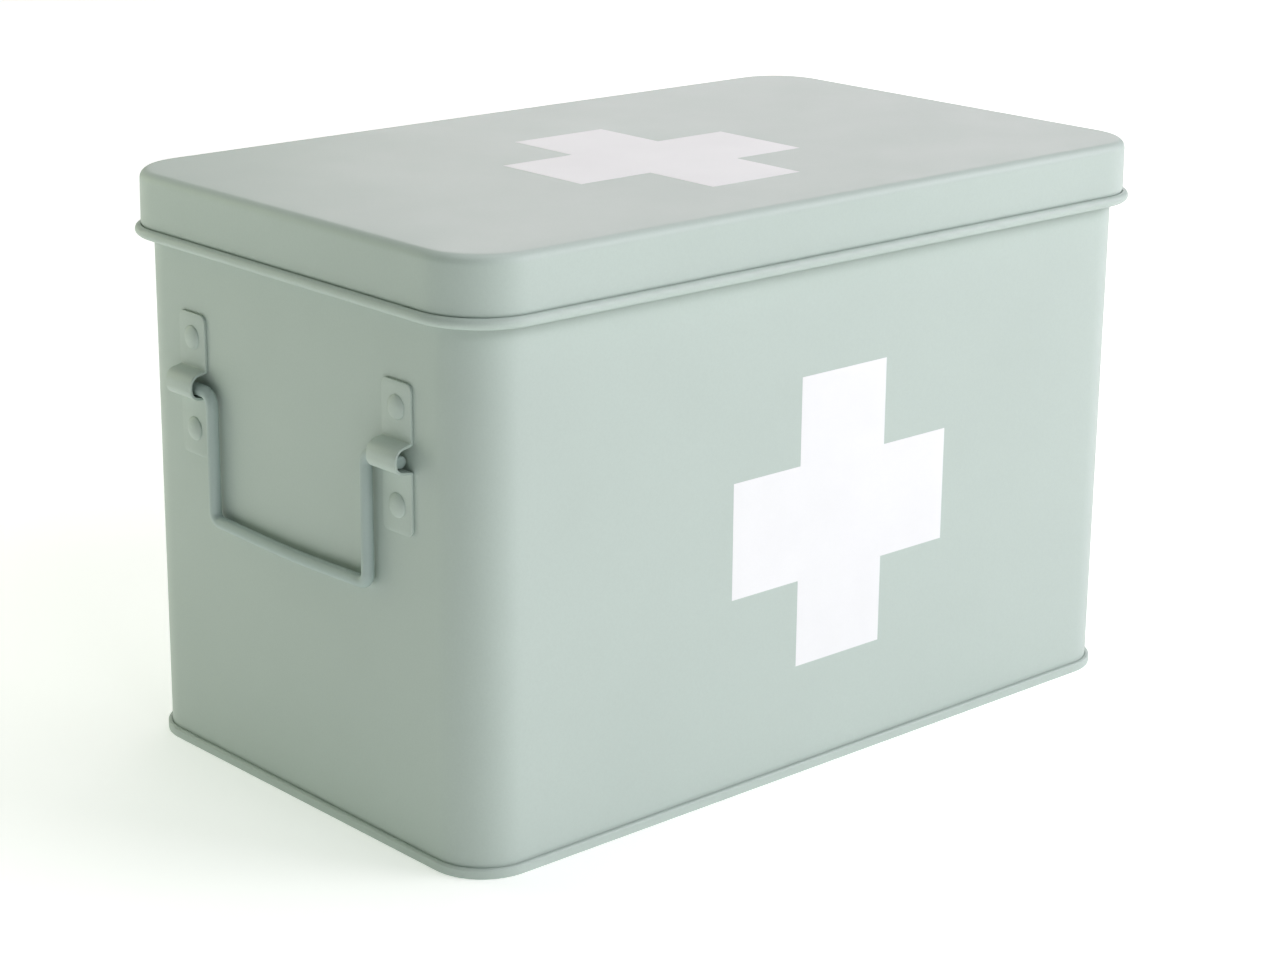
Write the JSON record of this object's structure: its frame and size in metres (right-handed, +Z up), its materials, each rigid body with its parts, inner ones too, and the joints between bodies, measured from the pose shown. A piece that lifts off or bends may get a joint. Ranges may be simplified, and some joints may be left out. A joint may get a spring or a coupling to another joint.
{
  "type": "metal medicine box",
  "caption": "Rounded rectangular sheet-steel medicine box with a lift-off lid, swinging wire bail handles on the ends, an inner tray and plain crosses.",
  "frame": {"origin": "centre of the footprint, on the surface the box stands on", "axes": "+X along the length, towards the right end; the face with the cross looks to -Y; +Z up"},
  "size_m": [0.314, 0.1904, 0.1966],
  "materials": {
    "sage_paint": "matte fine-textured sage green powder coat",
    "lid_paint": "matte fine-textured sage green powder coat",
    "wire_paint": "matte sage green powder coat on wire",
    "bracket_paint": "matte sage green powder coat",
    "rivet_paint": "matte sage green powder coat",
    "white_print": "thin matte white screen print",
    "tray_paint": "matte sage green powder coat",
    "ledge_paint": "matte sage green powder coat"
  },
  "bodies": {
    "body": {"body_wall": "sage_paint", "bottom_panel": "sage_paint", "front_cross": "white_print", "left_front_bracket": "bracket_paint", "left_rear_bracket": "bracket_paint", "right_front_bracket": "bracket_paint", "right_rear_bracket": "bracket_paint", "left_front_rivets": "rivet_paint", "left_rear_rivets": "rivet_paint", "right_front_rivets": "rivet_paint", "right_rear_rivets": "rivet_paint", "left_tray_ledge": "ledge_paint", "right_tray_ledge": "ledge_paint"},
    "tray": {"tray_shell": "tray_paint", "tray_long_divider": "tray_paint", "tray_cross_dividers": "tray_paint"},
    "lid": {"lid_shell": "lid_paint", "lid_cross": "white_print"},
    "left_bail": {"left_handle": "wire_paint"},
    "right_bail": {"right_handle": "wire_paint"}
  },
  "joints": [
    {"name": "tray_lift", "type": "slide", "parent": "body", "child": "tray", "axis": [0, 0, 1], "range_m": [0, 0.08]},
    {"name": "lid_lift", "type": "slide", "parent": "tray", "child": "lid", "axis": [0, 0, 1], "range_m": [0, 0.08]},
    {"name": "left_bail_swing", "type": "hinge", "parent": "body", "child": "left_bail", "pos_m": [-0.1527, 0.0004, 0.12895], "axis": [0, 1, 0], "range_deg": [0, 180]},
    {"name": "right_bail_swing", "type": "hinge", "parent": "body", "child": "right_bail", "pos_m": [0.1527, 0.0004, 0.12895], "axis": [0, -1, 0], "range_deg": [0, 180]}
  ]
}
